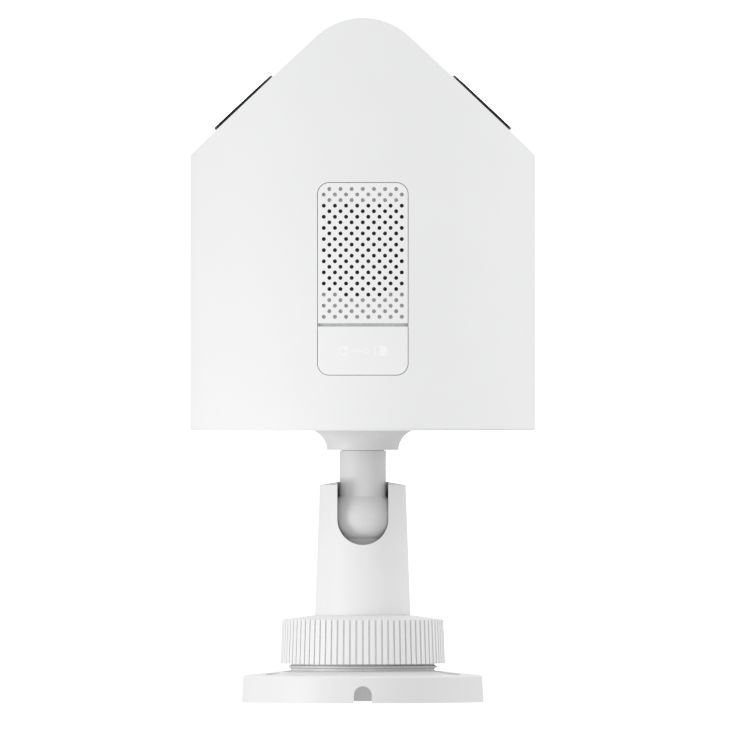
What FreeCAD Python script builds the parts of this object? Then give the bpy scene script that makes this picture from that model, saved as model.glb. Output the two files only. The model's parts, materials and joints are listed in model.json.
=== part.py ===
import FreeCAD, Part
import math
import os

# Floodlight security camera on a ball-jointed wall arm. All sizes are in millimetres.
# The origin is the centre of the wall face. +Z runs out of the wall along the arm to the camera's front.
# -Y is the underside in use, which carries the speaker grille and the service door.

# ---------------------------------------------------------------- driving dimensions

# Head: a round drum whose front is cut by two slopes that meet in a rounded ridge
body_radius = 60.0
wall = 3.0
head_back = 94.5
ridge_radius = 23.8
ridge_top = 237.3
slope = 43.0
edge_round = 0.8

# Rear of the head
cover_thick = 2.4
cover_recess = 0.3
cover_radius = 57.9
rear_screw_radius = 48.5

# Lamps, one on each slope, in a frame whose Z is the slope's outward normal
lamp_centre_x = 40.95
lamp_half_length = 13.65
lamp_half_width = 28.0
lamp_corner = 8.0
lamp_proud = 1.15
lamp_recess = 1.4
lamp_gasket_thick = 0.4
lamp_edge_round = 0.3
lamp_window_half_x = 12.15
lamp_window_half_y = 26.5
lamp_window_corner = 6.7
board_top_on_slope = -7.0
sink_top_on_slope = -8.2
led_rows = (-5.6, 5.6)
led_columns = (-21.0, -10.5, 0.0, 10.5, 21.0)

# Panel on the underside: speaker grille above a service door
panel_half = 15.8
panel_bottom = 113.6
panel_top = 180.4
panel_corner = 4.2
panel_gap = 0.24
panel_floor_radius = 58.2
panel_skin_radius = 59.95
door_top = 130.5
grille_bottom = 131.65

# Grille holes, in rows that alternate between seven and eight. All go right through the grille.
hole_radius = 0.7
hole_pitch = 3.85
row_pitch = 1.921
row_top = 178.06
row_count = 24

# Speaker, and the window in the housing that lies behind the middle rows of holes
speaker_z = 156.95
speaker_face = 53.0
window_half_x = 14.5
window_top = 173.5
window_low = 142.55
window_corner = 0.8
sill_half_x = 6.8
sill_low = 140.5
cone_radius = 13.2
magnet_radius = 9.6

# Service bay behind the door
bay_z = 122.4
bay_half_x = 13.4
bay_half_z = 6.2
bay_back = 50.5
bay_wall = 1.5
card_x = 7.0
card_z = 122.0
card_half_width = 5.5
card_half_thick = 0.4
button_x = -8.0
button_radius = 1.52

# Lens and the other openings in the ridge bezel, placed along Y
bezel_half = 12.0
bezel_length = 44.0
plug_bottom = 230.0
lens_y = 8.0
window_seat_z = 232.9
lens_bore = 7.8
barrel_radius = 6.0
pir_y = -24.0
ir_led_spots = [(-4.6, 27.0), (4.6, 27.0), (-4.6, 34.5), (4.6, 34.5)]
pipe_y = 20.4
mic_y = -38.5

# Boards and their fixings
main_board_z = 119.0
board_thick = 1.6
board_radius = 47.0
standoff_spots = [(37.6, 13.7), (-37.6, 13.7), (-37.6, -13.7), (37.6, -13.7)]
bracket_spots = [(13.5, -5.5), (-13.5, -5.5), (13.5, 21.5), (-13.5, 21.5)]
bracket_z = 208.0
screw_length = 7.0

# Mount
base_radius = 42.07
base_shoulder = 41.6
base_edge_z = 9.4
hub_radius = 25.0
hub_foot_z = 11.1
hub_top = 20.7
thread_crest = 25.9
thread_pitch = 2.0
thread_first_z = 12.4
plate_hollow_radius = 38.3
plate_hollow_top = 7.2
hub_bore = 8.0
hub_well_radius = 14.0
hub_well_floor = 13.8
wall_screw_radius = 34.5
wall_boss_radius = 6.0
wall_hole_radius = 2.25
wall_sink_radius = 3.9
wall_sink_floor = 4.5
seal_outer = 41.0
seal_inner = 39.4
seal_depth = 1.0
notch_half = 3.1
notch_top = 6.0
ring_bottom = 13.46
ring_top = 28.8
ring_low_radius = 28.7
ring_high_radius = 28.1
ring_thread_bore = 26.2
ring_inside = 24.3
ring_lip_bore = 17.2
ring_lip_low = 24.9
ring_shelf_z = 20.95
groove_count = 80
groove_width = 0.72
groove_depth = 0.65
pillar_foot_z = 24.0
pillar_foot_radius = 16.88
pillar_top_z = 75.6
pillar_top_radius = 15.0
pillar_bore = 11.6
pillar_tail_z = 14.1
pillar_tail_radius = 13.92
pillar_flange_z = 21.0
pillar_flange_radius = 23.8
post_radius = 11.3
post_top = 48.2
seat_low = 50.0
seat_bore = 6.0
slot_half = 8.85
ball_z = 63.6
ball_radius = 11.4
neck_radius = 8.13
neck_top = 87.5
journal_radius = 7.5
journal_fit = 0.07
stem_bore = 4.5
stem_thread_radius = 6.0
stem_top = 104.0
collar_radius = 12.5
collar_bottom = 87.64
collar_flare = 18.5

# ---------------------------------------------------------------- values worked out from them

vec = FreeCAD.Vector
ORIGIN = vec(0, 0, 0)
X_AXIS = vec(1, 0, 0)
Y_AXIS = vec(0, 1, 0)
Z_AXIS = vec(0, 0, 1)

slope_rad = math.radians(slope)
ridge_z = ridge_top - ridge_radius
slope_foot_z = ridge_z + (ridge_radius - body_radius * math.sin(slope_rad)) / math.cos(slope_rad)
lamp_centre_z = slope_foot_z + (body_radius - lamp_centre_x) * math.tan(slope_rad)
panel_mid_z = (panel_bottom + panel_top) / 2
panel_half_z = (panel_top - panel_bottom) / 2
cover_face = head_back + cover_recess
cover_inside = cover_face + cover_thick
gasket_top = cover_inside + 0.6
board_top = main_board_z + board_thick
diagonal = rear_screw_radius / math.sqrt(2)
rear_screw_spots = [(diagonal, diagonal), (-diagonal, diagonal), (-diagonal, -diagonal), (diagonal, -diagonal)]
collar_screw_spots = [
    (11.2 * math.cos(math.radians(angle)), 11.2 * math.sin(math.radians(angle))) for angle in (30, 150, 270)
]
bezel_skin_out = ridge_radius - 0.2
bezel_skin_in = ridge_radius - 2.2

# ---------------------------------------------------------------- helpers


def box(x0, x1, y0, y1, z0, z1):
    return Part.makeBox(x1 - x0, y1 - y0, z1 - z0, vec(x0, y0, z0))


def rod(radius, z0, z1, x=0.0, y=0.0):
    return Part.makeCylinder(radius, z1 - z0, vec(x, y, z0))


def tube(outer, inner, z0, z1, x=0.0, y=0.0):
    return rod(outer, z0, z1, x, y).cut(rod(inner, z0 - 1, z1 + 1, x, y))


def rod_along_y(radius, y0, y1, x, z):
    return Part.makeCylinder(radius, y1 - y0, vec(x, y0, z), Y_AXIS)


def ridge_rod(radius):
    """Round bar along Y on the ridge's own axis."""
    return rod_along_y(radius, -body_radius - 1, body_radius + 1, 0.0, ridge_z)


def turned(points):
    """Solid of revolution about Z from a closed outline of (radius, z) points."""
    outline = [vec(r, 0, z) for r, z in points]
    face = Part.Face(Part.makePolygon(outline + outline[:1]))
    return face.revolve(ORIGIN, Z_AXIS, 360)


def turned_edges(edges):
    """Solid of revolution about Z from outline edges in the XZ plane."""
    return Part.Face(Part.Wire(edges)).revolve(ORIGIN, Z_AXIS, 360)


def line(r0, z0, r1, z1):
    return Part.LineSegment(vec(r0, 0, z0), vec(r1, 0, z1)).toShape()


def rounded_prism(half_x, half_y, radius, z0, z1, y=0.0):
    """Upright prism on a rounded rectangle, or a stadium when the radius fills its width."""
    arcs = []
    for turn, (side_x, side_y) in enumerate([(1, 1), (-1, 1), (-1, -1), (1, -1)]):
        centre = vec(side_x * (half_x - radius), y + side_y * (half_y - radius), z0)
        stops = []
        for part_turn in (0, 45, 90):
            angle = math.radians(90 * turn + part_turn)
            stops.append(centre + vec(radius * math.cos(angle), radius * math.sin(angle), 0))
        arcs.append(stops)
    edges = []
    for here, after in zip(arcs, arcs[1:] + arcs[:1]):
        edges.append(Part.Arc(*here).toShape())
        if here[2].distanceToPoint(after[0]) > 0.001:
            edges.append(Part.LineSegment(here[2], after[0]).toShape())
    return Part.Face(Part.Wire(edges)).extrude(vec(0, 0, z1 - z0))


def facing_down(shape, z=0.0):
    """Turn a shape built along +Z so that it faces -Y, at height z."""
    placed = shape.copy()
    placed.rotate(ORIGIN, X_AXIS, 90)
    placed.translate(vec(0, 0, z))
    return placed


def panel_prism(half_x, half_z, radius, depth0, depth1, z):
    """Rounded prism through the underside, from depth0 to depth1 away from the axis."""
    return facing_down(rounded_prism(half_x, half_z, radius, depth0, depth1), z)


def on_slope(shape, side):
    """Place a shape built about the slope's own centre on the right (+1) or left (-1) slope."""
    placed = shape.copy()
    placed.rotate(ORIGIN, Y_AXIS, side * slope)
    placed.translate(vec(side * lamp_centre_x, 0, lamp_centre_z))
    return placed


def joined(shapes):
    return shapes[0].fuse(shapes[1:]).removeSplitter()


def head_form(inset, bottom):
    """The head's outside, or the same form shrunk evenly by an inset."""
    radius = ridge_radius - inset
    touch_x = radius * math.sin(slope_rad)
    touch_z = ridge_z + radius * math.cos(slope_rad)
    reach = body_radius + 2
    eave_z = touch_z - (reach - touch_x) * math.tan(slope_rad)
    low_left = vec(-reach, 0, bottom)
    low_right = vec(reach, 0, bottom)
    eave_left = vec(-reach, 0, eave_z)
    eave_right = vec(reach, 0, eave_z)
    touch_left = vec(-touch_x, 0, touch_z)
    touch_right = vec(touch_x, 0, touch_z)
    edges = [
        Part.Arc(touch_left, vec(0, 0, ridge_z + radius), touch_right).toShape(),
        Part.LineSegment(touch_right, eave_right).toShape(),
        Part.LineSegment(eave_right, low_right).toShape(),
        Part.LineSegment(low_right, low_left).toShape(),
        Part.LineSegment(low_left, eave_left).toShape(),
        Part.LineSegment(eave_left, touch_left).toShape(),
    ]
    profile = Part.Face(Part.Wire(edges))
    profile.translate(vec(0, -reach, 0))
    roof = profile.extrude(vec(0, 2 * reach, 0))
    return rod(body_radius - inset, bottom, ridge_top + 5).common(roof)


def screw(head_radius, head_height, shank_radius, length):
    """Cross-head screw with its head's underside at the origin and its shank along -Z."""
    shape = rod(head_radius, 0, head_height).fuse(rod(shank_radius, -length, 0.01))
    arm = head_radius * 0.6
    cross = box(-arm, arm, -0.3, 0.3, head_height * 0.5, head_height + 1)
    cross = cross.fuse(box(-0.3, 0.3, -arm, arm, head_height * 0.5, head_height + 1))
    return shape.cut(cross).removeSplitter()


def placed_at(shape, x, y, z, upside_down=False):
    placed = shape.copy()
    if upside_down:
        placed.rotate(ORIGIN, X_AXIS, 180)
    placed.translate(vec(x, y, z))
    return placed


# ---------------------------------------------------------------- wall mount


def cable_notch():
    straight = box(-notch_half, notch_half, -45, -37.5, -1, notch_top - notch_half)
    return straight.fuse(rod_along_y(notch_half, -45, -37.5, 0, notch_top - notch_half))


def base_plate():
    body = turned(
        [(0, 0), (base_radius, 0), (base_shoulder, base_edge_z), (hub_radius + 1, hub_foot_z), (0, hub_foot_z)]
    )
    rim = [
        edge
        for edge in body.Edges
        if abs(edge.BoundBox.XMax - base_shoulder) < 0.01 and abs(edge.BoundBox.ZLength) < 0.01
    ]
    body = body.makeFillet(0.8, rim)
    hub = rod(hub_radius, hub_foot_z - 1, hub_top)
    ridges = []
    for turn in range(4):
        z = thread_first_z + turn * thread_pitch
        inner = hub_radius - 0.3
        outline = [(inner, z - 0.8), (thread_crest, z - 0.25), (thread_crest, z + 0.25), (inner, z + 0.8)]
        ridges.append(turned(outline + [(inner - 1, z + 0.8), (inner - 1, z - 0.8)]))
    body = joined([body, hub] + ridges)
    hollow = rod(plate_hollow_radius, -1, plate_hollow_top)
    well = rod(hub_well_radius, hub_well_floor, hub_top + 1)
    body = body.cut([hollow, well, rod(hub_bore, -1, hub_top + 1)])
    angles = [math.radians(angle) for angle in (90, 210, 330)]
    spots = [(wall_screw_radius * math.cos(a), wall_screw_radius * math.sin(a)) for a in angles]
    body = joined([body] + [rod(wall_boss_radius, 0, plate_hollow_top + 1, x, y) for x, y in spots])
    holes = [rod(wall_hole_radius, -1, hub_top, x, y) for x, y in spots]
    sinks = [rod(wall_sink_radius, wall_sink_floor, hub_top, x, y) for x, y in spots]
    groove = tube(seal_outer, seal_inner, -1, seal_depth)
    return body.cut(holes + sinks + [groove, cable_notch()]).removeSplitter()


def wall_gasket():
    slack = 0.05
    return tube(seal_outer - slack, seal_inner + slack, 0.1, seal_depth).cut(cable_notch())


def lock_ring():
    crown = ring_top + 1.5
    profile = [
        (ring_thread_bore, ring_bottom),
        (ring_low_radius, ring_bottom),
        (ring_high_radius, ring_top),
        (ring_lip_bore + 0.3, crown),
        (ring_lip_bore, crown - 0.2),
        (ring_lip_bore, ring_lip_low),
        (ring_inside, ring_lip_low),
        (ring_inside, ring_shelf_z),
        (ring_thread_bore, ring_shelf_z),
    ]
    ring = turned(profile)
    lean = math.degrees(math.atan((ring_low_radius - ring_high_radius) / (ring_top - ring_bottom)))
    groove = box(-groove_width / 2, groove_width / 2, -2, groove_depth, -1, 18)
    groove.rotate(ORIGIN, X_AXIS, -lean)
    groove.translate(vec(0, -ring_low_radius, ring_bottom))
    grooves = []
    for step in range(groove_count):
        cutter = groove.copy()
        cutter.rotate(ORIGIN, Z_AXIS, 360.0 * step / groove_count)
        grooves.append(cutter)
    return ring.cut(grooves)


def thrust_washer():
    slack = 0.05
    return tube(ring_inside - 0.7, ring_lip_bore + 0.4, pillar_foot_z + slack, ring_lip_low - slack)


def arm_sleeve():
    brow = pillar_top_z + 1.1
    profile = [
        (pillar_bore, pillar_tail_z),
        (pillar_tail_radius, pillar_tail_z),
        (pillar_tail_radius, pillar_flange_z),
        (pillar_flange_radius, pillar_flange_z),
        (pillar_flange_radius, pillar_foot_z),
        (pillar_foot_radius, pillar_foot_z),
        (pillar_top_radius, pillar_top_z),
        (slot_half, brow),
        (slot_half, ball_z),
        (pillar_bore, ball_z),
    ]
    sleeve = turned(profile)
    socket = Part.makeSphere(ball_radius + 0.1, vec(0, 0, ball_z))
    out = -pillar_foot_radius - 1
    slot = box(-slot_half, slot_half, out, 0, ball_z, brow + 1)
    slot = slot.fuse(rod_along_y(slot_half, out, 0, 0, ball_z))
    return sleeve.cut([socket, slot]).removeSplitter()


def thrust_post():
    return tube(post_radius, 7.0, hub_well_floor + 0.05, post_top)


def seat_spring():
    """Coned disc spring."""
    thick = 0.7
    inner, outer = 6.5, post_radius - 0.1
    return turned([(inner, seat_low - thick), (outer, post_top), (outer, post_top + thick), (inner, seat_low)])


def ball_seat():
    cup = tube(post_radius, seat_bore, seat_low, 57.0)
    return cup.cut(Part.makeSphere(ball_radius + 0.08, vec(0, 0, ball_z)))


def ball_stem():
    ball = Part.makeSphere(ball_radius, vec(0, 0, ball_z))
    neck = rod(neck_radius, ball_z, neck_top)
    journal = rod(journal_radius, neck_top - 1, cover_inside + 0.1)
    groove = tube(journal_radius + 1, 6.35, 90.4, 91.8)
    thread = rod(stem_thread_radius, cover_inside - 1, stem_top)
    stem = joined([ball, neck, journal, thread])
    bore = rod(stem_bore, ball_z - ball_radius - 1, stem_top + 1)
    return stem.cut([bore, groove]).removeSplitter()


def stem_oring():
    return Part.makeTorus(6.95, 0.6, vec(0, 0, 91.1))


def stem_nut():
    across_flats = 15.4
    low = 97.5
    height = 4.0
    corner_radius = across_flats / math.sqrt(3)
    angles = [math.radians(60 * i) for i in range(6)]
    corners = [vec(corner_radius * math.cos(a), corner_radius * math.sin(a), low) for a in angles]
    nut = Part.Face(Part.makePolygon(corners + corners[:1])).extrude(vec(0, 0, height))
    return nut.cut(rod(stem_thread_radius + 0.05, low - 1, low + height + 1))


def cable_grommet():
    sleeve = rod(stem_bore - 0.05, stem_top - 5.0, stem_top + 0.1)
    flange = rod(stem_bore + 1.2, stem_top, stem_top + 1.4)
    return joined([sleeve, flange]).cut(rod(2.6, stem_top - 10, stem_top + 10))


def rear_collar():
    bore = journal_radius + journal_fit
    flare = Part.Arc(vec(collar_radius, 0, collar_bottom), vec(14.2, 0, 92.2), vec(collar_flare, 0, 94.72)).toShape()
    edges = [
        flare,
        line(collar_flare, 94.72, collar_flare, cover_face),
        line(collar_flare, cover_face, bore, cover_face),
        line(bore, cover_face, bore, collar_bottom),
        line(bore, collar_bottom, collar_radius, collar_bottom),
    ]
    collar = turned_edges(edges)
    return collar.cut([rod(1.0, 90.0, 100, x, y) for x, y in collar_screw_spots])


# ---------------------------------------------------------------- head shell


def rear_boss(x, y):
    """Screw boss with a rib to the drum's wall."""
    boss = rod(4.5, cover_inside + 2, 112, x, y)
    rib = box(rear_screw_radius, 58.5, -1.25, 1.25, cover_inside + 2, 112)
    rib.rotate(ORIGIN, Z_AXIS, math.degrees(math.atan2(y, x)))
    return boss.fuse(rib)


def speaker_window(inset, depth0, depth1):
    """Opening behind the grille, with a sill that dips at the middle of its lower edge."""
    half_z = (window_top - window_low) / 2
    middle_z = (window_top + window_low) / 2
    sill_half_z = (window_low - sill_low) / 2 + 0.5
    sill_z = sill_low + sill_half_z
    opening = panel_prism(window_half_x - inset, half_z - inset, window_corner, depth0, depth1, middle_z)
    sill = panel_prism(sill_half_x - inset, sill_half_z - inset, window_corner / 2, depth0, depth1, sill_z)
    return joined([opening, sill])


def main_housing():
    outside = head_form(0, head_back)
    back_rim = [edge for edge in outside.Edges if edge.BoundBox.ZMax < head_back + 0.01]
    outside = outside.makeFillet(edge_round, back_rim)
    inside = head_form(wall, head_back - 1)
    shell = outside.cut([inside, rod(cover_radius + 0.3, head_back - 1, gasket_top)])
    frame_boss = panel_prism(17.0, 19.3, 5.0, speaker_face, 57.6, speaker_z)
    bay = box(-bay_half_x - 1.8, bay_half_x + 1.8, -57.6, -bay_back + bay_wall, bay_z - 8.0, bay_z + 8.0)
    lens_bosses = [rod(2.8, 212.0, 236, x, y) for x, y in bracket_spots]
    additions = [frame_boss.common(rod(58.0, 100, 200)), bay.common(rod(58.0, 100, 200))]
    additions += [boss.common(head_form(1.0, 200)) for boss in lens_bosses]
    additions += [rear_boss(x, y) for x, y in rear_screw_spots]
    shell = joined([shell] + additions)
    panel = panel_prism(panel_half, panel_half_z, panel_corner, 40, 70, panel_mid_z)
    cuts = [
        panel.cut(rod(panel_floor_radius, 100, 200)),
        speaker_window(0, 50, 70),
        panel_prism(bay_half_x, bay_half_z, 2.5, bay_back, 70, bay_z),
        box(card_x - 6.0, card_x + 6.0, -52, -47, card_z - 0.8, card_z + 0.8),
        rod_along_y(button_radius + 0.08, -52, -47, button_x, card_z),
        rounded_prism(bezel_half + 0.2, bezel_length + 0.2, bezel_half + 0.2, 228, 245).cut(
            ridge_rod(bezel_skin_in - 0.04)
        ),
        rounded_prism(10.2, 42.2, 10.2, 225, 245),
    ]
    cuts += [rod(1.0, 205, 216, x, y) for x, y in bracket_spots]
    cuts += [rod(1.25, 95, 109, x, y) for x, y in rear_screw_spots]
    for side in (1, -1):
        cuts.append(on_slope(rounded_prism(lamp_half_length + 0.2, lamp_half_width + 0.2, 8.2, -lamp_recess, 6), side))
        window = rounded_prism(lamp_window_half_x, lamp_window_half_y, lamp_window_corner, -5, 6)
        cuts.append(on_slope(window, side))
    return shell.cut(cuts).removeSplitter()


def rear_cover():
    plate = rod(cover_radius, cover_face, cover_inside)
    pads = [rod(5.5, cover_inside - 0.5, cover_inside + 2, x, y) for x, y in rear_screw_spots]
    standoffs = [rod(3.5, cover_inside - 0.5, main_board_z, x, y) for x, y in standoff_spots]
    cover = joined([plate] + pads + standoffs)
    cuts = [rod(journal_radius + journal_fit, 90, 100)]
    cuts += [rod(1.3, 90, 105, x, y) for x, y in rear_screw_spots]
    cuts += [rod(2.8, 90, cover_face + 2.0, x, y) for x, y in rear_screw_spots]
    cuts += [rod(1.0, 111, 125, x, y) for x, y in standoff_spots]
    cuts += [rod(1.05, 90, 100, x, y) for x, y in collar_screw_spots]
    return cover.cut(cuts)


def rear_gasket():
    return tube(cover_radius + 0.2, body_radius - wall + 0.1, cover_inside, gasket_top)


def rear_screws():
    part = screw(2.6, 1.9, 1.2, 10.0)
    return Part.makeCompound([placed_at(part, x, y, cover_face + 2.0, True) for x, y in rear_screw_spots])


def inner_screws():
    part = screw(1.8, 1.4, 0.95, screw_length)
    placed = [placed_at(part, x, y, board_top) for x, y in standoff_spots]
    placed += [placed_at(part, x, y, cover_inside) for x, y in collar_screw_spots]
    placed += [placed_at(part, x, y, bracket_z, True) for x, y in bracket_spots]
    return Part.makeCompound(placed)


# ---------------------------------------------------------------- lamps, built about the slope's centre


def lamp_cover():
    glass_bottom = lamp_gasket_thick - lamp_recess
    cover = rounded_prism(lamp_half_length, lamp_half_width, lamp_corner, glass_bottom, lamp_proud)
    top_edges = [edge for edge in cover.Edges if edge.BoundBox.ZMin > lamp_proud - 0.01]
    return cover.makeFillet(lamp_edge_round, top_edges)


def lamp_gasket():
    ring = rounded_prism(13.5, 27.85, 7.9, -lamp_recess, lamp_gasket_thick - lamp_recess)
    return ring.cut(rounded_prism(lamp_window_half_x, lamp_window_half_y, lamp_window_corner, -3, 3))


def led_spots():
    return [(x, y) for x in led_rows for y in led_columns]


def lamp_reflector():
    bowl_block = rounded_prism(11.85, 26.2, 6.4, -7.0, -1.3)
    flange = rounded_prism(14.0, 28.5, 8.5, -4.2, -wall)
    block = bowl_block.fuse(flange).removeSplitter()
    bowls = []
    for x, y in led_spots():
        bowls.append(Part.makeCone(2.3, 4.9, 6.2, vec(x, y, -7.2)))
    return block.cut(bowls)


def lamp_board():
    return rounded_prism(12.5, 27.0, 4.0, sink_top_on_slope, board_top_on_slope)


def lamp_leds():
    half = 1.4
    low = board_top_on_slope
    return Part.makeCompound([box(x - half, x + half, y - half, y + half, low, low + 0.7) for x, y in led_spots()])


def lamp_heat_sink():
    plate = rounded_prism(12.5, 27.0, 4.0, sink_top_on_slope - 2.2, sink_top_on_slope)
    fins = [box(x - 0.6, x + 0.6, -25, 25, -18.0, -10.0) for x in (-10.8, -7.2, -3.6, 0.0, 3.6, 7.2, 10.8)]
    return joined([plate] + fins)


# ---------------------------------------------------------------- camera in the ridge


def lens_bezel():
    skin = rounded_prism(bezel_half, bezel_length, bezel_half, 225, 245)
    skin = skin.common(ridge_rod(bezel_skin_out).cut(ridge_rod(bezel_skin_in)))
    plug = rounded_prism(10.0, 42.0, 10.0, plug_bottom, 245).common(ridge_rod(bezel_skin_out))
    bezel = joined([skin, plug])
    pir_pocket = rounded_prism(7.2, 11.2, 7.2, 225, 245, pir_y).cut(ridge_rod(bezel_skin_out - 1.2))
    cuts = [
        rod(9.0, window_seat_z, 245, 0, lens_y),
        rod(lens_bore, 225, 245, 0, lens_y),
        pir_pocket,
        rounded_prism(5.6, 9.6, 5.6, 225, 245, pir_y),
        rod(1.0, 225, 245, 0, pipe_y),
        rod(0.6, 225, 245, 0, mic_y),
    ]
    cuts += [rod(2.6, 225, 245, x, y) for x, y in ir_led_spots]
    return bezel.cut(cuts)


def lens_window():
    return rod(8.8, window_seat_z, window_seat_z + 1.5, 0, lens_y)


def light_shield():
    return tube(lens_bore - 0.2, 6.9, 229.5, window_seat_z - 0.05, 0, lens_y)


def lens_barrel():
    barrel = turned(
        [
            (4.6, 217.8),
            (barrel_radius, 217.8),
            (barrel_radius, 223.5),
            (6.7, 223.5),
            (6.7, 231.8),
            (6.3, 231.8),
            (5.4, 229.6),
            (5.4, 226.0),
            (4.6, 226.0),
        ]
    )
    return placed_at(barrel, 0, lens_y, 0)


def lens_elements():
    curve_radius = 10.3
    dome = Part.makeSphere(curve_radius, vec(0, lens_y, 229.3 - curve_radius))
    front = rod(5.35, 226.1, 230, 0, lens_y).common(dome)
    return Part.makeCompound([front, rod(4.55, 218.4, 220.0, 0, lens_y)])


def lens_holder():
    block = box(-14.2, 14.2, lens_y - 8.2, lens_y + 8.2, 211.2, 218.4)
    holder = block.fuse(rod(8.2, 218.0, 223.3, 0, lens_y))
    cuts = [
        rod(barrel_radius + 0.05, 217.2, 230, 0, lens_y),
        rod(5.4, 216.0, 218, 0, lens_y),
        box(-12.6, 12.6, lens_y - 5.1, lens_y + 5.1, 214.2, 216.8),
        box(-4.2, 4.2, lens_y - 3.6, lens_y + 3.6, 212.5, 214.5),
        box(-6.0, 6.0, lens_y - 5.0, lens_y + 5.0, 210, 213.0),
    ]
    return holder.cut(cuts).removeSplitter()


def ir_cut_slider():
    plate = box(-4.6, 12.0, lens_y - 4.9, lens_y + 4.9, 214.35, 216.65)
    cuts = []
    for x in (0.0, 7.0):
        cuts.append(box(x - 2.7, x + 2.7, lens_y - 2.7, lens_y + 2.7, 210, 220))
        cuts.append(box(x - 3.2, x + 3.2, lens_y - 3.2, lens_y + 3.2, 215.6, 220))
    return plate.cut(cuts)


def ir_cut_glasses():
    return Part.makeCompound(
        [box(x - 3.15, x + 3.15, lens_y - 3.15, lens_y + 3.15, 215.6, 216.2) for x in (0.0, 7.0)]
    )


def image_sensor():
    return box(-4.4, 4.4, lens_y - 3.6, lens_y + 3.6, 211.2, 212.2)


def sensor_board():
    return box(-15, 15, lens_y - 10, lens_y + 10, bracket_z + 2, bracket_z + 3.2)


def camera_bracket():
    plate = box(-16.5, 16.5, -8.5, 24.5, bracket_z, bracket_z + 2)
    posts = [rod(2.4, bracket_z + 1, 212.0, x, y) for x, y in bracket_spots]
    bracket = joined([plate] + posts)
    cuts = [box(-11, 11, 0.5, 15.5, 200, 212)]
    cuts += [rod(1.05, 200, 215, x, y) for x, y in bracket_spots]
    return bracket.cut(cuts)


def front_board():
    board = rounded_prism(9.6, 40.5, 9.6, plug_bottom - 1.2, plug_bottom)
    return board.cut([rod(8.0, 220, 240, 0, lens_y), rod(0.5, 220, 240, 0, mic_y)])


def ir_leds():
    leds = []
    for x, y in ir_led_spots:
        dome = Part.makeSphere(2.4, vec(x, y, 232.2))
        body = rod(2.4, plug_bottom, 232.2, x, y)
        leds.append(joined([body, dome.common(rod(3, 232.1, 240, x, y))]))
    return Part.makeCompound(leds)


def pir_lens():
    form = rounded_prism(7.0, 11.0, 7.0, 225, 245, pir_y)
    return form.common(ridge_rod(bezel_skin_out - 0.06).cut(ridge_rod(bezel_skin_out - 1.16)))


def pir_sensor():
    can = joined([rod(4.8, plug_bottom, 230.6, 0, pir_y), rod(4.3, 230.5, 234.0, 0, pir_y)])
    return can.cut(box(-1.6, 1.6, pir_y - 1.2, pir_y + 1.2, 233.7, 235))


def microphone():
    top = plug_bottom - 1.2
    return box(-1.75, 1.75, mic_y - 1.35, mic_y + 1.35, top - 1.1, top)


def light_pipe():
    return rod(0.95, plug_bottom, 240, 0, pipe_y).common(ridge_rod(bezel_skin_out - 0.1))


# ---------------------------------------------------------------- electronics and service bay


def main_board():
    board = rod(board_radius, main_board_z, board_top)
    cuts = [rod(12.0, 110, 130)]
    cuts += [rod(1.1, 110, 130, x, y) for x, y in standoff_spots]
    return board.cut(cuts)


def board_parts():
    """Shielded processor, radio and power parts: (x, y, width, depth, height)."""
    blocks = [
        (0, 27, 24, 20, 2.6),
        (-26, -8, 14, 18, 2.4),
        (24, -6, 10, 10, 4.5),
        (0, -24, 12, 8, 1.6),
        (-14, -30, 9, 5, 3.0),
        (20, 27, 8, 12, 6.0),
        (-24, 22, 9, 9, 1.4),
    ]
    shapes = [box(x - w / 2, x + w / 2, y - d / 2, y + d / 2, board_top, board_top + h) for x, y, w, d, h in blocks]
    capacitors = [(32, 8), (32, -18), (24, -20)]
    shapes += [rod(3.2, board_top, board_top + 8, x, y) for x, y in capacitors]
    return Part.makeCompound(shapes)


def antennas():
    strip = tube(body_radius - wall - 0.05, body_radius - wall - 0.45, 128, 172)
    return Part.makeCompound([strip.common(box(x - 6, x + 6, 40, 60, 120, 180)) for x in (-20, 20)])


def sd_socket():
    shell = box(card_x - 6.4, card_x + 6.4, -48.5, -33.0, board_top, 123.0)
    reach = card_half_width + 0.2
    half = card_half_thick + 0.2
    return shell.cut(box(card_x - reach, card_x + reach, -50, -34.2, card_z - half, card_z + half))


def sd_card():
    low_x = card_x - card_half_width
    high_x = card_x + card_half_width
    return box(low_x, high_x, -49.6, -34.6, card_z - card_half_thick, card_z + card_half_thick)


def reset_switch():
    body = box(button_x - 3.0, button_x + 3.0, -46.0, -42.0, board_top, 124.0)
    return body.fuse(rod_along_y(0.8, -47.0, -45.9, button_x, card_z)).removeSplitter()


def reset_button():
    pin = rod_along_y(button_radius, -51.2, -47.6, button_x, card_z)
    flange = rod_along_y(2.4, -48.9, -48.2, button_x, card_z)
    return joined([pin, flange])


def panel_skin(inner_radius):
    """Curved plate that fills the panel's outline, inside its gap."""
    outline = panel_prism(
        panel_half - panel_gap, panel_half_z - panel_gap, panel_corner - panel_gap, 40, 70, panel_mid_z
    )
    return outline.common(tube(panel_skin_radius, inner_radius, 100, 200))


def service_door():
    return panel_skin(panel_floor_radius + 0.3).common(box(-20, 20, -70, 0, 100, door_top))


def door_seal():
    ring = panel_prism(13.0, 5.2, 2.2, 55.6, 60, bay_z)
    ring = ring.cut(panel_prism(11.4, 3.6, 1.2, 50, 70, bay_z))
    return ring.common(rod(panel_floor_radius + 0.25, 100, 140))


# ---------------------------------------------------------------- sound


def hole_centres():
    for row in range(row_count):
        count = 7 if row % 2 == 0 else 8
        for column in range(count):
            yield (column - (count - 1) / 2) * hole_pitch, row_top - row * row_pitch


def speaker_grille():
    plate = panel_skin(panel_floor_radius + 0.05).common(box(-20, 20, -70, 0, grille_bottom, 200))
    return plate.cut([rod_along_y(hole_radius, -62, -50, x, z) for x, z in hole_centres()])


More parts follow.
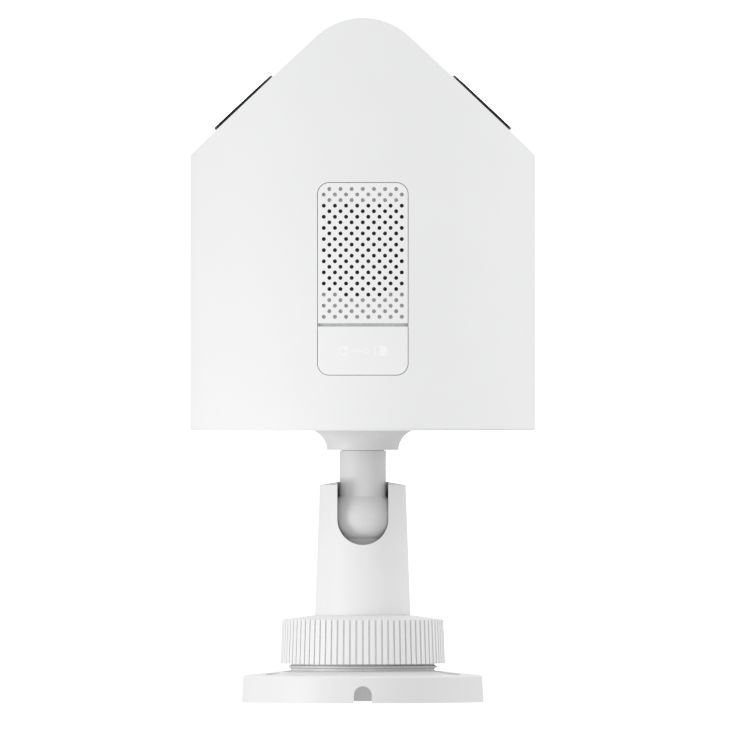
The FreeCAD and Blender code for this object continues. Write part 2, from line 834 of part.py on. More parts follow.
def acoustic_mesh():
    outer = panel_floor_radius - 0.05
    return speaker_window(0.3, 40, 70).common(tube(outer, outer - 0.3, 120, 190))


def speaker_frame():
    plate = rounded_prism(16.6, 18.9, 4.5, speaker_face - 2, speaker_face)
    basket = Part.makeCone(10.5, 15.8, 6.6, vec(0, 0, 44.5))
    frame = joined([plate, basket])
    cuts = [
        Part.makeCone(9.0, cone_radius, 5.0, vec(0, 0, 46.0)),
        rod(cone_radius + 0.1, 50.9, 55),
        rod(6.2, 40, 50),
    ]
    for angle in (0, 90):
        window = box(-30, 30, -4.5, 4.5, 46.5, 50.0)
        window.rotate(ORIGIN, Z_AXIS, angle)
        cuts.append(window)
    return facing_down(frame.cut(cuts), speaker_z)


def speaker_magnet():
    pole = 4.4
    outline = [(0, 37.5), (magnet_radius, 37.5), (magnet_radius, 44.5), (pole, 44.5), (pole, 46.0), (0, 46.0)]
    magnet = turned(outline)
    return facing_down(magnet, speaker_z)


def speaker_cone():
    outline = [
        (0, 49.9),
        (3.4, 49.4),
        (5.0, 48.3),
        (11.0, 51.7),
        (12.0, 52.5),
        (cone_radius, 51.9),
        (cone_radius, 51.4),
        (12.1, 52.0),
        (11.2, 51.2),
        (5.5, 47.9),
        (5.5, 46.2),
        (5.0, 46.2),
        (5.0, 47.7),
        (3.3, 48.9),
        (0, 49.4),
    ]
    return facing_down(turned(outline), speaker_z)


# ---------------------------------------------------------------- writing the pieces


def write(name, shape):
    if not shape.isValid():
        print("not valid:", name)
    shape.exportStep(os.path.join("parts", name + ".step"))


def main():
    os.makedirs("parts", exist_ok=True)
    single = [
        base_plate, wall_gasket, lock_ring, thrust_washer, arm_sleeve, thrust_post, seat_spring, ball_seat,
        ball_stem, stem_oring, stem_nut, cable_grommet, rear_collar, main_housing, rear_cover, rear_gasket,
        rear_screws, inner_screws, lens_bezel, lens_window, light_shield, lens_barrel, lens_elements,
        lens_holder, ir_cut_slider, ir_cut_glasses, image_sensor, sensor_board, camera_bracket, front_board,
        ir_leds, pir_lens, pir_sensor, microphone, light_pipe, main_board, board_parts, antennas, sd_socket,
        sd_card, reset_switch, reset_button, service_door, door_seal, speaker_grille, acoustic_mesh,
        speaker_frame, speaker_magnet, speaker_cone,
    ]
    for make in single:
        write(make.__name__, make())
    for make in (lamp_cover, lamp_reflector, lamp_board, lamp_heat_sink):
        write(make.__name__ + "_right", on_slope(make(), 1))
        write(make.__name__ + "_left", on_slope(make(), -1))
    for make, name in ((lamp_gasket, "lamp_gaskets"), (lamp_leds, "lamp_leds")):
        write(name, Part.makeCompound([on_slope(make(), 1), on_slope(make(), -1)]))


main()
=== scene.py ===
import json
import math

import bmesh
import bpy
from mathutils import Matrix, Vector


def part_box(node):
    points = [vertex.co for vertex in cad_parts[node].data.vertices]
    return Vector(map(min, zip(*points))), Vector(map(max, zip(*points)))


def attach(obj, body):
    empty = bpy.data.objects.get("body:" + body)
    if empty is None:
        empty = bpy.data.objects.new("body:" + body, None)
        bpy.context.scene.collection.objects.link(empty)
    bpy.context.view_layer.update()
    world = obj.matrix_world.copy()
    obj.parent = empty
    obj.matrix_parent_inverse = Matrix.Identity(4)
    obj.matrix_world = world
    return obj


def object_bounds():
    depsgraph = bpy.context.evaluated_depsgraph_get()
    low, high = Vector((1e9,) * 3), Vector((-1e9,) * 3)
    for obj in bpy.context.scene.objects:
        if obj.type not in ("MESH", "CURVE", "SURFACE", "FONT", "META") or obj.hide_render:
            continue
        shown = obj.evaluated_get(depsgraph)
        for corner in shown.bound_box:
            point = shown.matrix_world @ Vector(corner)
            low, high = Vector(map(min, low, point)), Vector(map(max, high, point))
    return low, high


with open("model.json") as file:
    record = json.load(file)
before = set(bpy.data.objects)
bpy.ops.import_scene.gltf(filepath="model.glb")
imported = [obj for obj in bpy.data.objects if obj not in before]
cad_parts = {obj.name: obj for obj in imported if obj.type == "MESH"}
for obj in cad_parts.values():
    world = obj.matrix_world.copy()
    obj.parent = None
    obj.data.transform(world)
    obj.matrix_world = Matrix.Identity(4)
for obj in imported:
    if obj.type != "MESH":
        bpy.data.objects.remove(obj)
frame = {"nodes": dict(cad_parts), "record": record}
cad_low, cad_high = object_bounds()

MM = 0.001

# ---------------------------------------------------------------- driving values
# Sizes are in millimetres in the frame's axes, unless a comment says otherwise.

# Service door's signs
DOOR_SKIN = 59.95         # radius of the door's outer face
PRINT_SUNK = 0.05         # the print starts this far below that face
PRINT_PROUD = 0.03        # and stands out this far
SIGN_Z = 122.1            # middle line of the signs
SIGN_HALF = 1.75          # half their height
ARROW_X = -6.7
ARROW_RADIUS = 1.45
PIN_LEFT = -3.9
PIN_STEP = 0.5
PIN_POINTS = 10
EYE_X = 1.35
EYE_RADIUS = 0.75
DIVIDER_X = 4.3
DIVIDER_HALF = 1.7
DIVIDER_POINTS = 11
CARD_LEFT = 5.8
CARD_RIGHT = 8.5
CARD_CUT = 0.9
ARROW_LINE = 0.42
PIN_LINE = 0.40
FINE_LINE = 0.36

# Camera lens and infrared lamps
LENS_Y = 8.0
BAFFLE_COUNT = 4
BAFFLE_TOP = 231.75
BAFFLE_PITCH = 0.52
BAFFLE_MOUTH = 6.29       # radius of the highest step
BAFFLE_TAPER = 0.213      # each lower step is this much narrower
IR_LED_X = 4.6
IR_LED_ROWS = (27.0, 34.5)

# Floodlights on the two slopes
SLOPE = math.radians(43.0)
COVER_PROUD = 1.15        # cover's upper face above the slope
COVER_DEPTH = 1.0         # its lower face below the slope
WINDOW_HALF_ACROSS = 11.0
WINDOW_HALF_ALONG = 25.4
WINDOW_CORNER = 5.0
WINDOW_FADE = 0.2         # half the width over which the printed border fades in
LED_HALF_GAP = 5.6
LED_PITCH = 10.5

# Colours of the white parts, linear. The mount and arm colours are the shell's white plastic, darkened as
# painted shade for the shade below the head
SHELL_WHITE = (0.80, 0.804, 0.814)
MOUNT_WHITE_PAINTED_SHADE = (0.65, 0.65, 0.65)
ARM_WHITE_PAINTED_SHADE = (0.735, 0.735, 0.735)
PANEL_WHITE = (0.83, 0.84, 0.83)
PRINT_WHITE = (0.98, 0.98, 0.98)

# Surround: strength everywhere, and what is added towards each direction
STUDIO = {"even": 0.77, "-x": 0.06, "+x": 0.20, "+z": 0.86}
WHITE_LEVEL = 3.0         # scene brightness that is shown as pure white
SHOULDER = 0.72           # brighter tones than this are bent towards white
CURVE_STEPS = 16
FLOOR_RADIUS = 3.0        # metres
FLOOR_GLOW = 1.2

# Lamps: name, place and target in metres, width and height in metres, watts
LAMPS = (
    ("low_left", (-0.303, -0.175, 0.03), (0, 0, 0.05), 0.15, 0.04, 0.15),
    ("base_left", (-0.17, -0.11, 0.012), (0, 0, 0.012), 0.08, 0.02, 0.10),
)

# Camera
LENS_LENGTH = 1500.0
SENSOR_WIDTH = 36.0
FRAME_WIDTH = 254.1       # width seen at the object
CAMERA_RIGHT = 0.94       # camera's shift from the middle of the box
CAMERA_DOWN = 1.60

# ---------------------------------------------------------------- node helpers


def new_material(name):
    """A material with its Principled shader, and a small function that adds and links nodes."""
    material = bpy.data.materials.new(name)
    material.use_nodes = True
    tree = material.node_tree
    shader = tree.nodes["Principled BSDF"]

    def add(kind, **settings):
        node = tree.nodes.new(kind)
        for key, value in settings.items():
            setattr(node, key, value)
        return node

    return material, shader, add, tree.links.new


def set_inputs(shader, **values):
    """Uniform values, set by socket name with _ for a space."""
    for key, value in values.items():
        shader.inputs[key.replace("_", " ")].default_value = value


def noise(add, link, coordinates, scale, detail=3.0, rough=0.5):
    """Noise value at the given coordinates."""
    node = add("ShaderNodeTexNoise")
    node.inputs["Scale"].default_value = scale
    node.inputs["Detail"].default_value = detail
    node.inputs["Roughness"].default_value = rough
    link(coordinates, node.inputs["Vector"])
    return node.outputs["Fac"]


def spread(add, link, value, low, high, from_low=0.35, from_high=0.65):
    """Maps a value onto low to high. By default it takes the range where noise mostly lies."""
    node = add("ShaderNodeMapRange")
    node.inputs["From Min"].default_value = from_low
    node.inputs["From Max"].default_value = from_high
    node.inputs["To Min"].default_value = low
    node.inputs["To Max"].default_value = high
    link(value, node.inputs["Value"])
    return node.outputs["Result"]


def ramp(add, link, value, stops):
    """Colour ramp with (place, colour) stops."""
    node = add("ShaderNodeValToRGB")
    points = node.color_ramp.elements
    while len(points) < len(stops):
        points.new(0.5)
    for point, (place, colour) in zip(points, stops):
        point.position = place
        point.color = (*colour, 1.0)
    link(value, node.inputs["Fac"])
    return node.outputs["Color"]


def bump(add, link, shader, height, strength, distance):
    node = add("ShaderNodeBump")
    node.inputs["Strength"].default_value = strength
    node.inputs["Distance"].default_value = distance
    link(height, node.inputs["Height"])
    link(node.outputs["Normal"], shader.inputs["Normal"])


def shade(colour, factor):
    """A colour made darker or lighter, at most 1."""
    return tuple(min(1.0, channel * factor) for channel in colour)


# ---------------------------------------------------------------- materials


def moulded_plastic(name, colour, rough=0.42, grain=2600.0, depth=0.00003, vary=0.012, strength=0.25):
    """Moulded plastic: fine spark-eroded grain, faint flow marks and uneven gloss."""
    material, shader, add, link = new_material(name)
    where = add("ShaderNodeTexCoord").outputs["Object"]
    flow = noise(add, link, where, 38.0, 2.0)
    fine = noise(add, link, where, grain, 2.0, 0.6)
    link(ramp(add, link, flow, [(0.3, shade(colour, 1 - vary)), (0.7, shade(colour, 1 + vary))]),
         shader.inputs["Base Color"])
    link(spread(add, link, fine, rough - 0.05, rough + 0.05), shader.inputs["Roughness"])
    bump(add, link, shader, fine, strength, depth)
    set_inputs(shader, IOR=1.49)
    return material


def gloss_black(name, colour=(0.011, 0.011, 0.012), rough=0.06):
    """Piano-black cover: deep gloss with faint orange peel and a haze of dust."""
    material, shader, add, link = new_material(name)
    where = add("ShaderNodeTexCoord").outputs["Object"]
    peel = noise(add, link, where, 260.0, 1.0)
    dust = noise(add, link, where, 5200.0, 3.0, 0.7)
    link(ramp(add, link, dust, [(0.55, colour), (0.85, shade(colour, 3.0))]), shader.inputs["Base Color"])
    link(spread(add, link, dust, rough, rough + 0.08, 0.45, 0.8), shader.inputs["Roughness"])
    bump(add, link, shader, peel, 0.08, 0.00003)
    set_inputs(shader, IOR=1.52)
    return material


def soft_rubber(name, colour, rough=0.78):
    """Rubber with fine pores and a pale bloom in patches."""
    material, shader, add, link = new_material(name)
    where = add("ShaderNodeTexCoord").outputs["Object"]
    fine = noise(add, link, where, 3400.0, 4.0, 0.7)
    bloom = noise(add, link, where, 120.0, 3.0)
    link(ramp(add, link, bloom, [(0.35, shade(colour, 0.85)), (0.7, shade(colour, 1.25))]),
         shader.inputs["Base Color"])
    link(spread(add, link, bloom, rough - 0.08, rough + 0.08), shader.inputs["Roughness"])
    bump(add, link, shader, fine, 0.3, 0.00004)
    return material


def closed_foam(name, colour):
    """Closed-cell foam: small cells, with painted shade darkening the sunken centre of each cell."""
    material, shader, add, link = new_material(name)
    where = add("ShaderNodeTexCoord").outputs["Object"]
    cells_and_pit_shade = add("ShaderNodeTexVoronoi")
    cells_and_pit_shade.inputs["Scale"].default_value = 2200.0
    link(where, cells_and_pit_shade.inputs["Vector"])
    # Darker towards each cell's sunken centre: painted shade in the pits
    link(ramp(add, link, cells_and_pit_shade.outputs["Distance"], [(0.0, shade(colour, 0.55)), (0.6, shade(colour, 1.2))]),
         shader.inputs["Base Color"])
    bump(add, link, shader, cells_and_pit_shade.outputs["Distance"], 0.6, 0.0001)
    set_inputs(shader, Roughness=0.92)
    return material


def coated_glass(name, tint, rough=0.015, coat_reflection_tint=(0.55, 0.45, 0.85)):
    """Clear glass with a painted reflection: the coating's coloured reflection is painted into the colour
    towards the edges, where the glass turns away from the view.
    """
    material, shader, add, link = new_material(name)
    where = add("ShaderNodeTexCoord").outputs["Object"]
    haze = noise(add, link, where, 900.0, 3.0)
    rim = add("ShaderNodeLayerWeight")
    rim.inputs["Blend"].default_value = 0.35
    # Colour shifts to the coating's tint where the glass turns away from the view: painted reflection of the
    # coating
    link(ramp(add, link, rim.outputs["Facing"], [(0.2, tint), (0.95, coat_reflection_tint)]),
         shader.inputs["Base Color"])
    link(spread(add, link, haze, rough, rough + 0.02), shader.inputs["Roughness"])
    set_inputs(shader, Transmission_Weight=1.0, IOR=1.5, Specular_IOR_Level=0.25)
    return material


def brushed_metal(name, colour, rough=0.32, stretch=(1.0, 1.0, 0.06), grain=1500.0):
    """Metal with fine brushed lines. They run along the axis with the small scale."""
    material, shader, add, link = new_material(name)
    where = add("ShaderNodeTexCoord").outputs["Object"]
    mapping = add("ShaderNodeMapping")
    mapping.inputs["Scale"].default_value = stretch
    link(where, mapping.inputs["Vector"])
    lines = noise(add, link, mapping.outputs["Vector"], grain, 3.0, 0.65)
    tone = noise(add, link, where, 90.0, 2.0)
    link(ramp(add, link, tone, [(0.3, shade(colour, 0.9)), (0.7, shade(colour, 1.08))]),
         shader.inputs["Base Color"])
    link(spread(add, link, lines, rough - 0.08, rough + 0.12), shader.inputs["Roughness"])
    bump(add, link, shader, lines, 0.2, 0.00002)
    set_inputs(shader, Metallic=1.0)
    return material


def circuit_board(name, mask, copper):
    """Solder mask around copper pads, which the Manhattan distance makes into slanted squares."""
    material, shader, add, link = new_material(name)
    where = add("ShaderNodeTexCoord").outputs["Object"]
    pads = add("ShaderNodeTexVoronoi", distance="MANHATTAN")
    pads.inputs["Scale"].default_value = 420.0
    link(where, pads.inputs["Vector"])
    pattern = pads.outputs["Distance"]
    weave = noise(add, link, where, 1800.0, 2.0)
    link(ramp(add, link, pattern, [(0.28, copper), (0.34, mask)]), shader.inputs["Base Color"])
    link(spread(add, link, weave, 0.28, 0.42), shader.inputs["Roughness"])
    bump(add, link, shader, pattern, 0.25, 0.00003)
    return material


def lit_epoxy(name, colour, rough=0.25, through=0.0):
    """Cast epoxy or phosphor: slightly cloudy."""
    material, shader, add, link = new_material(name)
    where = add("ShaderNodeTexCoord").outputs["Object"]
    cloud = noise(add, link, where, 1400.0, 3.0)
    link(ramp(add, link, cloud, [(0.3, shade(colour, 0.85)), (0.7, shade(colour, 1.1))]),
         shader.inputs["Base Color"])
    link(spread(add, link, cloud, rough - 0.06, rough + 0.08), shader.inputs["Roughness"])
    set_inputs(shader, Transmission_Weight=through, IOR=1.53)
    return material


def fresnel_milk(name, colour):
    """Milky sensor lens with the fine ring facets of its inner face."""
    material, shader, add, link = new_material(name)
    where = add("ShaderNodeTexCoord").outputs["Object"]
    rings = add("ShaderNodeTexWave", wave_type="RINGS", rings_direction="SPHERICAL", wave_profile="SAW")
    rings.inputs["Scale"].default_value = 260.0
    mapping = add("ShaderNodeMapping")
    low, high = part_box("pir_lens")
    middle = (low + high) / 2
    mapping.inputs["Location"].default_value = (-middle.x, -middle.y, -middle.z)
    link(where, mapping.inputs["Vector"])
    link(mapping.outputs["Vector"], rings.inputs["Vector"])
    link(ramp(add, link, rings.outputs["Fac"], [(0.0, shade(colour, 0.93)), (1.0, shade(colour, 1.04))]),
         shader.inputs["Base Color"])
    bump(add, link, shader, rings.outputs["Fac"], 0.25, 0.00006)
    set_inputs(shader, Roughness=0.38, Subsurface_Weight=0.2)
    shader.inputs["Subsurface Radius"].default_value = (0.002, 0.002, 0.002)
    return material


def woven_cloth(name, colour):
    """Acoustic cloth: two crossed waves make the weave."""
    material, shader, add, link = new_material(name)
    where = add("ShaderNodeTexCoord").outputs["Object"]
    waves = []
    for direction in ("X", "Z"):
        wave = add("ShaderNodeTexWave", bands_direction=direction)
        wave.inputs["Scale"].default_value = 900.0
        link(where, wave.inputs["Vector"])
        waves.append(wave.outputs["Fac"])
    weave = add("ShaderNodeMath", operation="MULTIPLY")
    link(waves[0], weave.inputs[0])
    link(waves[1], weave.inputs[1])
    link(ramp(add, link, weave.outputs["Value"], [(0.1, shade(colour, 0.4)), (0.8, shade(colour, 1.6))]),
         shader.inputs["Base Color"])
    bump(add, link, shader, weave.outputs["Value"], 0.5, 0.0001)
    set_inputs(shader, Roughness=0.9)
    return material


def smoked_cover(name, side):
    """Smoked lamp glass: a clear window with rounded corners inside a black printed border."""
    material, shader, add, link = new_material(name)
    where = add("ShaderNodeTexCoord").outputs["Object"]
    low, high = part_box("lamp_cover_right" if side > 0 else "lamp_cover_left")
    middle = (low + high) / 2
    to_slope = add("ShaderNodeMapping", vector_type="TEXTURE")
    to_slope.inputs["Location"].default_value = middle
    to_slope.inputs["Rotation"].default_value = (0, SLOPE * side, 0)
    link(where, to_slope.inputs["Vector"])
    axes = add("ShaderNodeSeparateXYZ")
    link(to_slope.outputs["Vector"], axes.inputs["Vector"])
    insets = []
    for axis, half in (("X", WINDOW_HALF_ACROSS), ("Y", WINDOW_HALF_ALONG)):
        size = add("ShaderNodeMath", operation="ABSOLUTE")
        link(axes.outputs[axis], size.inputs[0])
        past = add("ShaderNodeMath", operation="SUBTRACT")
        link(size.outputs["Value"], past.inputs[0])
        past.inputs[1].default_value = (half - WINDOW_CORNER) * MM
        clipped = add("ShaderNodeMath", operation="MAXIMUM")
        link(past.outputs["Value"], clipped.inputs[0])
        clipped.inputs[1].default_value = 0.0
        square = add("ShaderNodeMath", operation="POWER")
        link(clipped.outputs["Value"], square.inputs[0])
        square.inputs[1].default_value = 2.0
        insets.append(square.outputs["Value"])
    total = add("ShaderNodeMath", operation="ADD")
    link(insets[0], total.inputs[0])
    link(insets[1], total.inputs[1])
    reach = add("ShaderNodeMath", operation="SQRT")
    link(total.outputs["Value"], reach.inputs[0])
    edge_inside = (WINDOW_CORNER - WINDOW_FADE) * MM
    edge_outside = (WINDOW_CORNER + WINDOW_FADE) * MM
    window = spread(add, link, reach.outputs["Value"], 1.0, 0.0, edge_inside, edge_outside)
    dust = noise(add, link, where, 4200.0, 3.0, 0.7)
    link(ramp(add, link, window, [(0.4, (0.010, 0.010, 0.011)), (0.6, (0.42, 0.42, 0.44))]),
         shader.inputs["Base Color"])
    link(window, shader.inputs["Transmission Weight"])
    link(spread(add, link, dust, 0.03, 0.10, 0.45, 0.8), shader.inputs["Roughness"])
    set_inputs(shader, IOR=1.5, Specular_IOR_Level=0.25)
    return material


SLOT_MATERIALS = {
    "white_shell": lambda n: moulded_plastic(n, SHELL_WHITE, 0.45),
    # white_mount and white_arm take the darkened whites: painted shade on the same white plastic below the
    # head
    "white_mount": lambda n: moulded_plastic(n, MOUNT_WHITE_PAINTED_SHADE, 0.45),
    "white_arm": lambda n: moulded_plastic(n, ARM_WHITE_PAINTED_SHADE, 0.45),
    "white_panel": lambda n: moulded_plastic(n, PANEL_WHITE, 0.42),
    "black_gloss": gloss_black,
    "black_matte": lambda n: moulded_plastic(n, (0.025, 0.025, 0.027), 0.55, vary=0.1),
    "black_rubber": lambda n: soft_rubber(n, (0.03, 0.03, 0.032)),
    "grey_rubber": lambda n: soft_rubber(n, (0.30, 0.30, 0.31)),
    "grey_foam": lambda n: closed_foam(n, (0.20, 0.20, 0.21)),
    "clear_glass": lambda n: coated_glass(n, (0.95, 0.97, 1.0)),
    "filter_glass": lambda n: coated_glass(n, (0.4, 0.8, 0.85), coat_reflection_tint=(0.9, 0.35, 0.3)),
    "pir_milk": lambda n: fresnel_milk(n, (0.74, 0.74, 0.72)),
    "reflector_white": lambda n: brushed_metal(n, (0.86, 0.86, 0.87), 0.2),
    "light_grey": lambda n: moulded_plastic(n, (0.36, 0.36, 0.36), 0.5),
    "board_green": lambda n: circuit_board(n, (0.012, 0.10, 0.045), (0.03, 0.20, 0.08)),
    "board_white": lambda n: circuit_board(n, (0.78, 0.78, 0.76), (0.62, 0.62, 0.60)),
    "chip_black": lambda n: moulded_plastic(n, (0.03, 0.03, 0.033), 0.5, vary=0.15),
    "led_yellow": lambda n: lit_epoxy(n, (0.90, 0.66, 0.14)),
    "led_smoke": lambda n: lit_epoxy(n, (0.16, 0.07, 0.14), 0.12, 0.5),
    "status_green": lambda n: lit_epoxy(n, (0.75, 0.92, 0.86), 0.3, 0.3),
    "sensor_silicon": lambda n: lit_epoxy(n, (0.06, 0.09, 0.16), 0.1),
    "can_steel": lambda n: brushed_metal(n, (0.60, 0.60, 0.61), 0.34),
    "screw_steel": lambda n: brushed_metal(n, (0.56, 0.56, 0.57), 0.3),
    "spring_steel": lambda n: brushed_metal(n, (0.38, 0.39, 0.41), 0.35),
    "sink_aluminium": lambda n: brushed_metal(n, (0.70, 0.71, 0.72), 0.45),
    "nut_brass": lambda n: brushed_metal(n, (0.70, 0.52, 0.24), 0.3),
    "antenna_copper": lambda n: brushed_metal(n, (0.70, 0.38, 0.22), 0.4),
    "mesh_fabric": lambda n: woven_cloth(n, (0.085, 0.085, 0.088)),
    "cone_paper": lambda n: moulded_plastic(n, (0.05, 0.05, 0.053), 0.7, 1500.0, vary=0.2),
    "magnet_steel": lambda n: brushed_metal(n, (0.30, 0.30, 0.31), 0.4),
    "card_black": lambda n: moulded_plastic(n, (0.03, 0.03, 0.034), 0.45, vary=0.1),
}


def finish_cad_nodes():
    """Give every carried-over node the material of its slot."""
    made = {}
    for part in frame["record"]["subparts"]:
        node, slot_name = part["node"], part["material_slot"]
        if slot_name not in made:
            made[slot_name] = SLOT_MATERIALS[slot_name](slot_name + "_look")
        piece = frame["nodes"][node]
        piece.data.materials.clear()
        piece.data.materials.append(made[slot_name])
    for name, side in (("lamp_cover_right", 1), ("lamp_cover_left", -1)):
        piece = frame["nodes"][name]
        piece.data.materials[0] = smoked_cover(name + "_look", side)


# ---------------------------------------------------------------- added pieces


def new_piece(name, vertices, faces, material, body):
    """A mesh piece that rides on a body. Its points are in millimetres in the frame's axes."""
    mesh = bpy.data.meshes.new(name)
    mesh.from_pydata([[value * MM for value in point] for point in vertices], [], faces)
    form = bmesh.new()
    form.from_mesh(mesh)
    bmesh.ops.remove_doubles(form, verts=form.verts, dist=0.0002 * MM)
    bmesh.ops.recalc_face_normals(form, faces=form.faces)
    form.to_mesh(mesh)
    form.free()
    mesh.materials.append(material)
    piece = bpy.data.objects.new(name, mesh)
    bpy.context.scene.collection.objects.link(piece)
    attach(piece, body)
    return piece


def ribbon(points, width, closed=False):
    """Left and right edges, as (x, z) points, of a line drawn with the given width."""
    count = len(points)
    left, right = [], []
    for i, (x, z) in enumerate(points):
        before = points[(i - 1) % count] if closed or i else points[i]
        after = points[(i + 1) % count] if closed or i < count - 1 else points[i]
        run = Vector((after[0] - before[0], after[1] - before[1])).normalized() * (width / 2)
        left.append((x - run.y, z + run.x))
        right.append((x + run.y, z - run.x))
    return left, right


def raised_print(name, strokes, material):
    """Thin print on the curved door. Each stroke is (left edge, right edge, closed)."""
    vertices, faces = [], []
    for left, right, closed in strokes:
        start, count = len(vertices), len(left)
        for radius in (DOOR_SKIN - PRINT_SUNK, DOOR_SKIN + PRINT_PROUD):
            for edge in (left, right):
                vertices += [(x, -math.sqrt(radius * radius - x * x), z) for x, z in edge]
        rows = [start + row * count for row in range(4)]
        around = (rows[0], rows[1], rows[3], rows[2])
        for i in range(count if closed else count - 1):
            j = (i + 1) % count
            for here, there in zip(around, around[1:] + around[:1]):
                faces.append((here + i, here + j, there + j, there + i))
        if not closed:
            faces.append(around)
            faces.append([row + count - 1 for row in around])
    return new_piece(name, vertices, faces, material, "door")


def arc(x, z, radius, start, stop, steps):
    """Points along an arc, in degrees."""
    turns = [math.radians(start + (stop - start) * i / steps) for i in range(steps + 1)]
    return [(x + radius * math.cos(a), z + radius * math.sin(a)) for a in turns]


def filled(x0, x1, z0, z1, cut=0.0, steps=6):
    """Edges of a filled block whose upper right corner is cut off at a slant."""
    left, right = [], []
    for i in range(steps + 1):
        x = x0 + (x1 - x0) * i / steps
        left.append((x, z0))
        right.append((x, z1 - max(0.0, x - (x1 - cut))))
    return left, right, False


def build_door_prints():
    """Generic signs for a pin reset and a memory card, in place of any wording."""
    paint = moulded_plastic("door_print_look", PRINT_WHITE, 0.35, vary=0.006)
    ring = arc(ARROW_X, SIGN_Z, ARROW_RADIUS, 60, 350, 28)
    arrow_x, arrow_z = ring[0]
    arrow_head = (
        [(arrow_x - 0.75, arrow_z - 0.05), (arrow_x + 0.95, arrow_z + 0.35)],
        [(arrow_x - 0.70, arrow_z - 0.15), (arrow_x + 0.65, arrow_z - 1.25)],
        False,
    )
    pin = [(PIN_LEFT + PIN_STEP * i, SIGN_Z) for i in range(PIN_POINTS)]
    eye = arc(EYE_X, SIGN_Z, EYE_RADIUS, 0, 345, 23)
    divider_foot = SIGN_Z - DIVIDER_HALF
    divider_step = 2 * DIVIDER_HALF / (DIVIDER_POINTS - 1)
    divider = [(DIVIDER_X, divider_foot + divider_step * i) for i in range(DIVIDER_POINTS)]
    strokes = [
        (*ribbon(ring, ARROW_LINE), False),
        arrow_head,
        (*ribbon(pin, PIN_LINE), False),
        (*ribbon(eye, FINE_LINE, True), True),
        (*ribbon(divider, FINE_LINE), False),
    ]
    raised_print("door_sign_reset", strokes, paint)
    card = filled(CARD_LEFT, CARD_RIGHT, SIGN_Z - SIGN_HALF, SIGN_Z + SIGN_HALF, CARD_CUT)
    raised_print("door_sign_card", [card], paint)


def turned_rings(name, outlines, centres, material, body, place=None, segments=40):
    """Closed outlines of (radius, height) turned about Z at each centre, then moved by place, if any."""
    vertices, faces = [], []
    for x, y in centres:
        for outline in outlines:
            start, count = len(vertices), len(outline)
            for step in range(segments):
                turn = 2 * math.pi * step / segments
                vertices += [(x + r * math.cos(turn), y + r * math.sin(turn), z) for r, z in outline]
            for step in range(segments):
                here, there = start + step * count, start + (step + 1) % segments * count
                for i in range(count):
                    j = (i + 1) % count
                    faces.append((here + i, there + i, there + j, here + j))
    if place:
        vertices = [place @ Vector(point) for point in vertices]
    return new_piece(name, vertices, faces, material, body)


def build_lens_baffles():
    """Sharp light-trap steps inside the mouth of the lens barrel."""
    outlines = []
    for step in range(BAFFLE_COUNT):
        top = BAFFLE_TOP - BAFFLE_PITCH * step
        wide = BAFFLE_MOUTH - BAFFLE_TAPER * step
        outlines.append([(wide + 0.05, top), (wide - 0.16, top - 0.04), (wide - 0.24, top - 0.12),
                         (wide, top - 0.34)])
    black = moulded_plastic("baffle_look", (0.016, 0.016, 0.018), 0.6, vary=0.1)
    turned_rings("lens_baffle_rings", outlines, [(0.0, LENS_Y)], black, "head", segments=72)


def build_led_cups():
    """Bright cup inside each infrared lamp."""
    spots = [(x, y) for y in IR_LED_ROWS for x in (-IR_LED_X, IR_LED_X)]
    cup = [(0.5, 231.0), (1.1, 231.5), (1.25, 231.5), (1.25, 230.9), (0.5, 230.8)]
    bright = brushed_metal("led_cup_look", (0.75, 0.75, 0.74), 0.25)
    turned_rings("ir_led_cups", [cup], spots, bright, "head", segments=28)


def build_lamp_domes():
    """Soft silicone dome with a stepped rim over each lamp die. Its outline is in the slope's own axes."""
    spots = [(x, LED_PITCH * row) for x in (-LED_HALF_GAP, LED_HALF_GAP) for row in range(-2, 3)]
    dome = [(0.0, -5.72), (0.45, -5.77), (0.80, -5.93), (1.02, -6.18), (1.06, -6.28), (1.28, -6.29),
            (1.28, -6.34), (0.0, -6.34)]
    silicone = lit_epoxy("lamp_dome_look", (0.96, 0.80, 0.30), 0.2)
    for side, name in ((1, "right"), (-1, "left")):
        low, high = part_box("lamp_cover_" + name)
        middle = (low + high) / 2 / MM
        glass_middle = Vector((0, 0, (COVER_PROUD - COVER_DEPTH) / 2))
        turn = Matrix.Rotation(side * SLOPE, 3, "Y")
        origin = middle - turn @ glass_middle
        place = Matrix.Translation(origin) @ turn.to_4x4()
        turned_rings("lamp_domes_" + name, [dome], spots, silicone, "head", place, 20)


# ---------------------------------------------------------------- stage, light and camera


def build_stage():
    """Round pale floor that glows, so that it looks as white as the surround and hides its edge."""
    mesh = bpy.data.meshes.new("floor")
    form = bmesh.new()
    bmesh.ops.create_circle(form, cap_ends=True, segments=96, radius=FLOOR_RADIUS)
    form.to_mesh(mesh)
    form.free()
    floor = bpy.data.objects.new("floor", mesh)
    bpy.context.scene.collection.objects.link(floor)
    material, shader, add, link = new_material("floor_look")
    where = add("ShaderNodeTexCoord").outputs["Object"]
    tone = noise(add, link, where, 3.0, 2.0)
    link(ramp(add, link, tone, [(0.3, (0.90, 0.90, 0.90)), (0.7, (0.93, 0.93, 0.93))]),
         shader.inputs["Base Color"])
    set_inputs(shader, Roughness=0.8, Emission_Strength=FLOOR_GLOW)
    shader.inputs["Emission Color"].default_value = (1, 1, 1, 1)
    mesh.materials.append(material)
    floor.visible_diffuse = False
    floor.visible_glossy = False


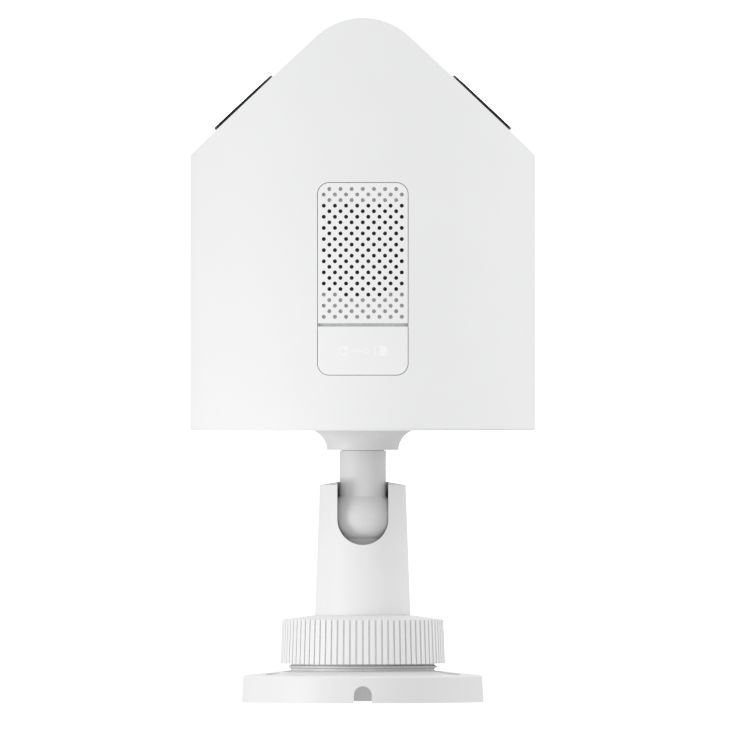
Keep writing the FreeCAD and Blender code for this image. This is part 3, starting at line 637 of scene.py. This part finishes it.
def build_world():
    """White surround, seen as plain white. It lights the object by how far a direction leans each way."""
    world = bpy.data.worlds.new("studio")
    bpy.context.scene.world = world
    world.use_nodes = True
    tree = world.node_tree
    background = tree.nodes["Background"]
    where = tree.nodes.new("ShaderNodeTexCoord")
    axes = tree.nodes.new("ShaderNodeSeparateXYZ")
    tree.links.new(where.outputs["Generated"], axes.inputs["Vector"])
    total = None
    for name, weight in STUDIO.items():
        lean = tree.nodes.new("ShaderNodeMapRange")
        lean.name = "lean" + name
        lean.inputs["To Max"].default_value = weight
        lean.inputs["Value"].default_value = 1.0
        if name != "even":
            lean.inputs["From Max"].default_value = 1.0 if name[0] == "+" else -1.0
            tree.links.new(axes.outputs[name[1].upper()], lean.inputs["Value"])
        if total is None:
            total = lean.outputs["Result"]
        else:
            joined = tree.nodes.new("ShaderNodeMath")
            tree.links.new(total, joined.inputs[0])
            tree.links.new(lean.outputs["Result"], joined.inputs[1])
            total = joined.outputs["Value"]
    path = tree.nodes.new("ShaderNodeLightPath")
    choose = tree.nodes.new("ShaderNodeMix")
    choose.inputs["B"].default_value = WHITE_LEVEL
    tree.links.new(path.outputs["Is Camera Ray"], choose.inputs["Factor"])
    tree.links.new(total, choose.inputs["A"])
    tree.links.new(choose.outputs["Result"], background.inputs["Strength"])
    background.inputs["Color"].default_value = (1.0, 1.0, 1.0, 1.0)


def soft_light(name, place, target, width, height, power):
    """Rectangular lamp aimed at a point."""
    data = bpy.data.lights.new(name, "AREA")
    data.shape = "RECTANGLE"
    data.size = width
    data.size_y = height
    data.energy = power
    lamp = bpy.data.objects.new(name, data)
    bpy.context.scene.collection.objects.link(lamp)
    lamp.location = place
    lamp.rotation_euler = (Vector(target) - Vector(place)).to_track_quat("-Z", "Y").to_euler()


def build_camera():
    """Square on to the underside through a very long lens, so that upright lines stay upright."""
    data = bpy.data.cameras.new("camera")
    data.sensor_width = SENSOR_WIDTH
    data.lens = LENS_LENGTH
    distance = FRAME_WIDTH * MM * LENS_LENGTH / SENSOR_WIDTH
    data.clip_start = 0.1
    data.clip_end = 60.0
    camera = bpy.data.objects.new("camera", data)
    bpy.context.scene.collection.objects.link(camera)
    middle = (cad_low + cad_high) / 2
    camera.location = (middle.x + CAMERA_RIGHT * MM, -distance, middle.z - CAMERA_DOWN * MM)
    camera.rotation_euler = (math.radians(90), 0, 0)
    bpy.context.scene.camera = camera


def soften_highlights():
    """Bends the brightest tones, so that faces turned to the bright surround keep their shading."""
    settings = bpy.context.scene.view_settings
    settings.view_transform = "Standard"
    settings.use_curve_mapping = True
    mapping = settings.curve_mapping
    mapping.white_level = (WHITE_LEVEL, WHITE_LEVEL, WHITE_LEVEL)
    points = mapping.curves[3].points
    room = 1.0 - SHOULDER
    for step in range(CURVE_STEPS):
        level = SHOULDER + (WHITE_LEVEL - SHOULDER) * (step / CURVE_STEPS) ** 2
        shown = SHOULDER + room * (1.0 - math.exp((SHOULDER - level) / room))
        points.new(level / WHITE_LEVEL, shown)
    for point in points:
        point.handle_type = "VECTOR"
    mapping.update()


build_camera()
build_world()
build_stage()
for lamp in LAMPS:
    soft_light(*lamp)
finish_cad_nodes()
build_door_prints()
build_lens_baffles()
build_led_cups()
build_lamp_domes()
soften_highlights()
